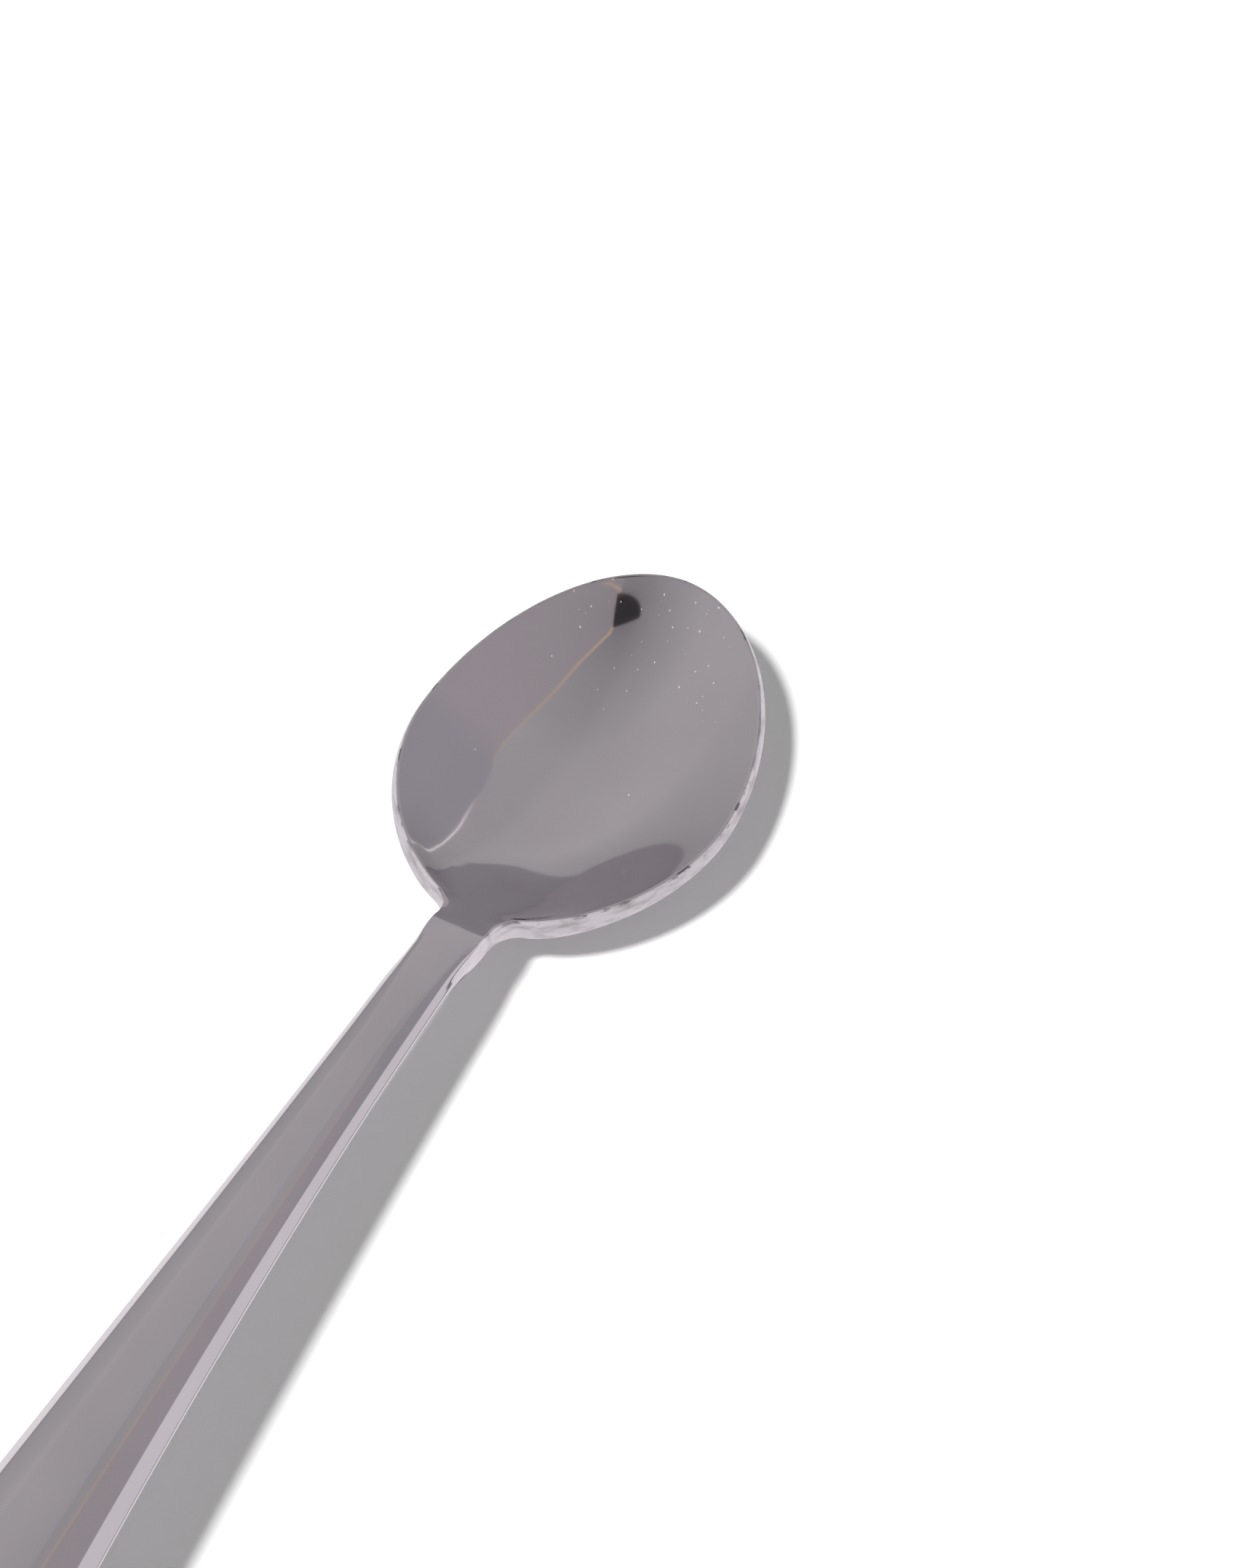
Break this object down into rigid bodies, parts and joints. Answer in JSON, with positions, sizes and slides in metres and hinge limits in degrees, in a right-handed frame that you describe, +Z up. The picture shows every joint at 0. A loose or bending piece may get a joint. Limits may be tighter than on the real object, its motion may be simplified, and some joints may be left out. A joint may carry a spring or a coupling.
{
  "type": "teaspoon",
  "caption": "Teaspoon with a shallow egg-shaped bowl, a narrow neck and an arched flat handle that widens to a rounded end, for stirring and for spooning small portions.",
  "frame": {"origin": "on the table, under the middle of the spoon's length and on its middle line, as it lies bowl up", "axes": "+Y along the spoon from the handle to the bowl's tip, +Z up out of the bowl, +X to the right"},
  "size_m": [0.031, 0.14, 0.0121],
  "materials": {
    "steel": "polished stainless steel with light wear and a duller ground edge round the bowl"
  },
  "bodies": {
    "root": {"bowl": "steel", "neck": "steel", "handle": "steel", "handle_end": "steel"}
  },
  "joints": []
}
